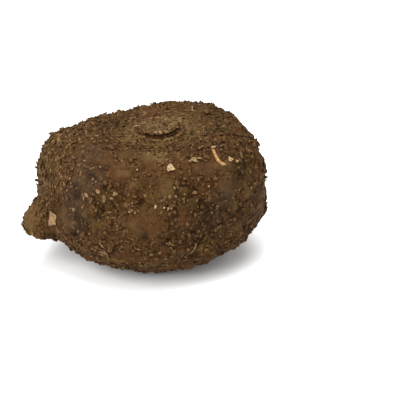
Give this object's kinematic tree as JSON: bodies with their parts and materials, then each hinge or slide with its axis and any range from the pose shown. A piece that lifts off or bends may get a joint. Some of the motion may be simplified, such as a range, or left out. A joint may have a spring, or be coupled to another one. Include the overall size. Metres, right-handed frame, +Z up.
{
  "type": "elephant foot yam",
  "caption": "Whole elephant foot yam corm: a wide, flattened, rough brown tuber with a round leaf scar on top and a blunt side bud.",
  "frame": {"origin": "on the floor, under the middle of the bounding box", "axes": "+Z up along the growth axis, +X along the widest side, away from the side bud, +Y to the back"},
  "size_m": [0.2084, 0.189, 0.1227],
  "materials": {
    "corm_skin": "matte, corky brown skin with root scars, dry soil and pale scuffs"
  },
  "bodies": {
    "root": {"corm": "corm_skin"}
  },
  "joints": []
}
